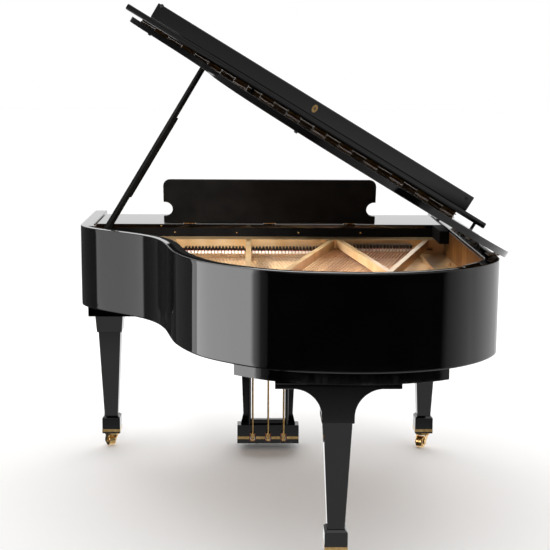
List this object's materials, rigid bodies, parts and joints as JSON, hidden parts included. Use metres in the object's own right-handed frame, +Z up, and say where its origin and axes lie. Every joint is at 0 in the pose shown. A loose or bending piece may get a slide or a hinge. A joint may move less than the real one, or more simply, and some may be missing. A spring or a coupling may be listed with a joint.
{
  "type": "grand piano",
  "caption": "Gloss black grand piano with its lid propped open, folded front flap, raised music desk, gold iron plate, lyre pedals and tapered square legs on brass casters.",
  "frame": {"origin": "on the floor, on the keyboard's centre line, below the front ends of the arms", "axes": "+X towards the treble end of the keyboard, +Y from the keyboard towards the tail, +Z up"},
  "size_m": [1.5466, 1.716, 1.8289],
  "materials": {
    "ebony_polish": "black polyester, mirror polished",
    "rim_veneer": "honey veneer, clear lacquer",
    "rim_maple": "plain sealed",
    "spruce": "clear varnish",
    "bridge_beech": "oiled",
    "gold_iron": "gold bronze paint",
    "steel": "drawn wire",
    "copper": "wound wire",
    "damper_black": "satin black",
    "white_felt": "pressed felt",
    "key_white": "gloss",
    "key_black": "matte",
    "rubber": "matte",
    "brass": "polished"
  },
  "bodies": {
    "case": {"outer_rim": "ebony_polish", "rim_lining": "rim_veneer", "inner_rim": "rim_maple", "back_beams": "rim_maple", "tail_plinth": "ebony_polish", "key_bed": "ebony_polish", "soundboard": "spruce", "iron_plate": "gold_iron", "pin_block": "rim_maple", "tuning_pins": "steel", "steel_strings": "steel", "copper_strings": "copper", "bridges": "bridge_beech", "damper_felts": "white_felt", "damper_heads": "damper_black", "key_frame": "rim_maple", "key_blocks": "ebony_polish", "key_slip": "ebony_polish", "music_shelf": "ebony_polish", "shelf_rail": "ebony_polish", "desk_hinges": "brass", "lid_hinges": "brass", "prop_bracket": "brass", "leg_bass": "ebony_polish", "leg_treble": "ebony_polish", "leg_tail": "ebony_polish", "leg_collars": "ebony_polish", "tail_bracket": "ebony_polish", "leg_ferrules": "ebony_polish", "caster_sockets": "brass", "lyre_frame": "ebony_polish", "pedal_box": "ebony_polish"},
    "lid": {"main_lid": "ebony_polish", "lid_hinge_leaves": "brass", "flap_hinges": "brass", "lid_bumpers": "rubber", "prop_cup": "brass"},
    "flap": {"flap_panel": "ebony_polish", "flap_apron": "ebony_polish", "flap_hinge_leaves": "brass", "lock_escutcheon": "brass"},
    "prop": {"prop_stick": "ebony_polish"},
    "half_prop": {"half_stick": "ebony_polish"},
    "desk": {"desk_panel": "ebony_polish", "desk_hinge_leaves": "brass"},
    "fallboard": {"fallboard": "ebony_polish"},
    "white_keys": {"white_keys": "key_white"},
    "black_keys": {"black_keys": "key_black"},
    "pedal_soft": {"pedal_soft": "brass"},
    "rod_soft": {"rod_soft": "brass"},
    "pedal_sostenuto": {"pedal_sostenuto": "brass"},
    "rod_sostenuto": {"rod_sostenuto": "brass"},
    "pedal_sustain": {"pedal_sustain": "brass"},
    "rod_sustain": {"rod_sustain": "brass"},
    "caster_bass": {"caster_fork_bass": "brass"},
    "wheels_bass": {"caster_wheels_bass": "brass"},
    "caster_treble": {"caster_fork_treble": "brass"},
    "wheels_treble": {"caster_wheels_treble": "brass"},
    "caster_tail": {"caster_fork_tail": "brass"},
    "wheels_tail": {"caster_wheels_tail": "brass"}
  },
  "joints": [
    {"name": "lid_open", "type": "hinge", "parent": "case", "child": "lid", "pos_m": [-0.757, 0, 0.989], "axis": [0, -1, 0], "range_deg": [0, 52]},
    {"name": "flap_unfold", "type": "hinge", "parent": "lid", "child": "flap", "pos_m": [-0.12512, 0.4515, 1.40717], "axis": [0.8572, 0, 0.515], "range_deg": [0, 180]},
    {"name": "prop_fold", "type": "hinge", "parent": "case", "child": "prop", "pos_m": [0.658, 0.5003, 0.949], "axis": [-0.6978, -0.5665, -0.4384], "range_deg": [0, 72.25]},
    {"name": "half_stick_swing", "type": "hinge", "parent": "prop", "child": "half_prop", "pos_m": [0.56507, 0.49554, 1.10308], "axis": [0.6978, 0.5665, 0.4384], "range_deg": [0, 120]},
    {"name": "desk_fold", "type": "hinge", "parent": "case", "child": "desk", "pos_m": [0, 0.446, 0.982], "axis": [1, 0, 0], "range_deg": [0, 103.5]},
    {"name": "fallboard_close", "type": "hinge", "parent": "case", "child": "fallboard", "pos_m": [0, 0.202, 0.772], "axis": [1, 0, 0], "range_deg": [0, 98]},
    {"name": "white_keys_dip", "type": "hinge", "parent": "case", "child": "white_keys", "pos_m": [0, 0.252, 0.709], "axis": [1, 0, 0], "range_deg": [0, 2.5], "stiffness_Nm_per_rad": 60, "springref_deg": -5.73},
    {"name": "black_keys_dip", "type": "hinge", "parent": "case", "child": "black_keys", "pos_m": [0, 0.252, 0.709], "axis": [1, 0, 0], "range_deg": [0, 4], "stiffness_Nm_per_rad": 16, "springref_deg": -5.73},
    {"name": "pedal_soft_press", "type": "hinge", "parent": "case", "child": "pedal_soft", "pos_m": [-0.065, 0.3, 0.052], "axis": [1, 0, 0], "range_deg": [0, 6], "stiffness_Nm_per_rad": 12, "springref_deg": -6.88},
    {"name": "rod_soft_lift", "type": "slide", "parent": "case", "child": "rod_soft", "axis": [0, 0, 1], "range_m": [0, 0.0075]},
    {"name": "pedal_sostenuto_press", "type": "hinge", "parent": "case", "child": "pedal_sostenuto", "pos_m": [0, 0.3, 0.052], "axis": [1, 0, 0], "range_deg": [0, 6], "stiffness_Nm_per_rad": 12, "springref_deg": -6.88},
    {"name": "rod_sostenuto_lift", "type": "slide", "parent": "case", "child": "rod_sostenuto", "axis": [0, 0, 1], "range_m": [0, 0.0075]},
    {"name": "pedal_sustain_press", "type": "hinge", "parent": "case", "child": "pedal_sustain", "pos_m": [0.065, 0.3, 0.052], "axis": [1, 0, 0], "range_deg": [0, 6], "stiffness_Nm_per_rad": 12, "springref_deg": -6.88},
    {"name": "rod_sustain_lift", "type": "slide", "parent": "case", "child": "rod_sustain", "axis": [0, 0, 1], "range_m": [0, 0.0075]},
    {"name": "caster_bass_swivel", "type": "hinge", "parent": "case", "child": "caster_bass", "pos_m": [-0.665, 0.294, 0], "axis": [0, 0, 1], "continuous": true},
    {"name": "wheels_bass_spin", "type": "hinge", "parent": "caster_bass", "child": "wheels_bass", "pos_m": [-0.65561, 0.31166, 0.025], "axis": [0.8829, -0.4695, 0], "continuous": true},
    {"name": "caster_treble_swivel", "type": "hinge", "parent": "case", "child": "caster_treble", "pos_m": [0.665, 0.294, 0], "axis": [0, 0, 1], "continuous": true},
    {"name": "wheels_treble_spin", "type": "hinge", "parent": "caster_treble", "child": "wheels_treble", "pos_m": [0.67408, 0.27618, 0.025], "axis": [-0.891, -0.454, 0], "continuous": true},
    {"name": "caster_tail_swivel", "type": "hinge", "parent": "case", "child": "caster_tail", "pos_m": [-0.2, 1.612, 0], "axis": [0, 0, 1], "continuous": true},
    {"name": "wheels_tail_spin", "type": "hinge", "parent": "caster_tail", "child": "wheels_tail", "pos_m": [-0.21286, 1.59668, 0.025], "axis": [-0.766, 0.6428, 0], "continuous": true}
  ],
  "couplings": [
    {"joint": "rod_soft_lift", "follows": "pedal_soft_press", "m_per_rad": 0.07},
    {"joint": "rod_sostenuto_lift", "follows": "pedal_sostenuto_press", "m_per_rad": 0.07},
    {"joint": "rod_sustain_lift", "follows": "pedal_sustain_press", "m_per_rad": 0.07}
  ]
}
